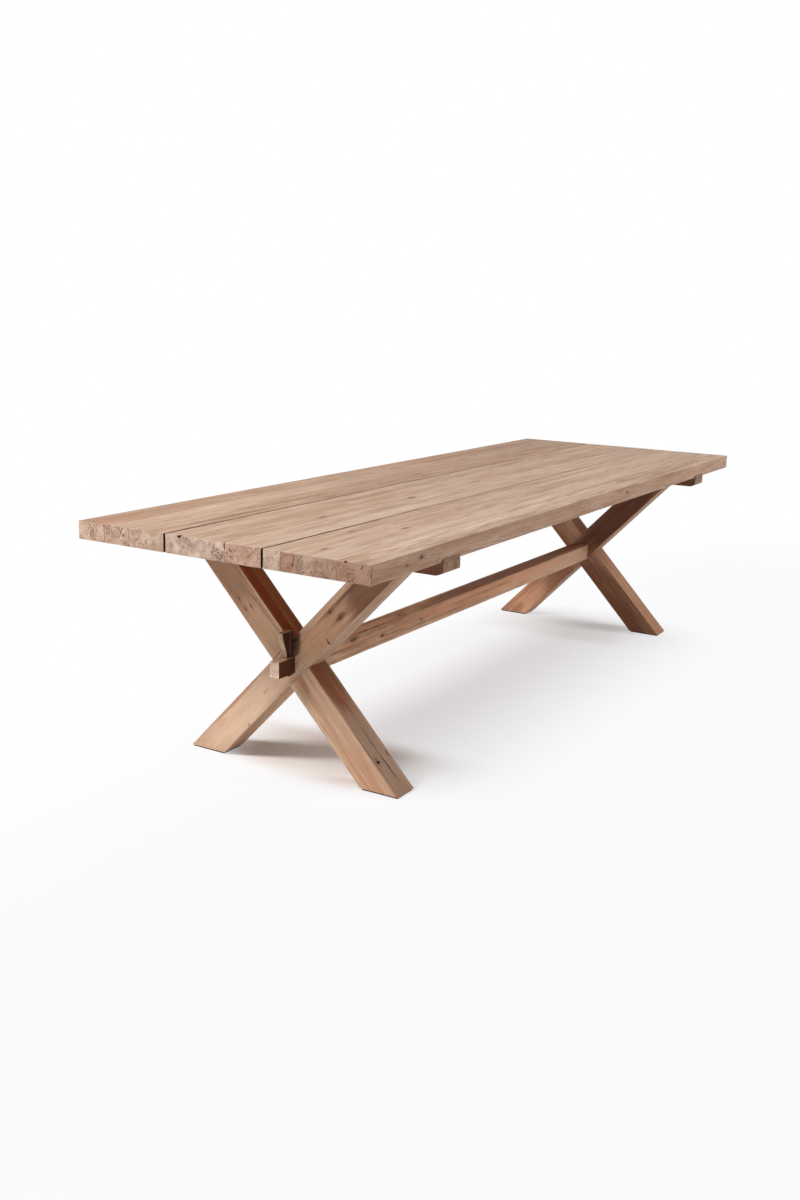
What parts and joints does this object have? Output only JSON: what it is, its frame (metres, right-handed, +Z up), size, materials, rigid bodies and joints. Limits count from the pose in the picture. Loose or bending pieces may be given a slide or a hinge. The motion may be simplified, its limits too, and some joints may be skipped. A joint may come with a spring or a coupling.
{
  "type": "sawbuck table",
  "caption": "Sawbuck dining table with a thick plank top on crossed-beam trestles, tied by a stretcher whose through tenons are locked by loose tusks.",
  "frame": {"origin": "on the floor, under the middle of the top", "axes": "+X along the table's length, +Y to the back long side, +Z up; the left trestle stands at -X"},
  "size_m": [3, 1.008, 0.77],
  "materials": {
    "top_planks": "weathered, waxed matt",
    "battens": "planed, matt",
    "leg_beams": "weathered, waxed matt",
    "stretcher": "weathered, waxed matt",
    "tusks": "planed, matt",
    "pegs": "turned, matt",
    "foot_pads": "hard, matt",
    "steel_fasteners": "zinc plated"
  },
  "bodies": {
    "table": {"back_plank_stave_1": "top_planks", "back_plank_stave_2": "top_planks", "back_plank_stave_3": "top_planks", "middle_plank_stave_1": "top_planks", "middle_plank_stave_2": "top_planks", "front_plank_stave_1": "top_planks", "front_plank_stave_2": "top_planks", "front_plank_stave_3": "top_planks", "front_plank_stave_4": "top_planks", "left_batten": "battens", "left_batten_screws": "steel_fasteners", "left_leg_back_foot": "leg_beams", "left_leg_front_foot": "leg_beams", "left_leg_pegs": "pegs", "left_front_foot_pad": "foot_pads", "left_back_foot_pad": "foot_pads", "right_batten": "battens", "right_batten_screws": "steel_fasteners", "right_leg_back_foot": "leg_beams", "right_leg_front_foot": "leg_beams", "right_leg_pegs": "pegs", "right_front_foot_pad": "foot_pads", "right_back_foot_pad": "foot_pads", "stretcher": "stretcher", "foot_pad_nails": "steel_fasteners"},
    "left_tusk": {"left_tusk": "tusks"},
    "right_tusk": {"right_tusk": "tusks"}
  },
  "joints": [
    {"name": "left_tusk_lift", "type": "slide", "parent": "table", "child": "left_tusk", "axis": [0, 0, 1], "range_m": [0, 0.08]},
    {"name": "right_tusk_lift", "type": "slide", "parent": "table", "child": "right_tusk", "axis": [0, 0, 1], "range_m": [0, 0.08]}
  ]
}
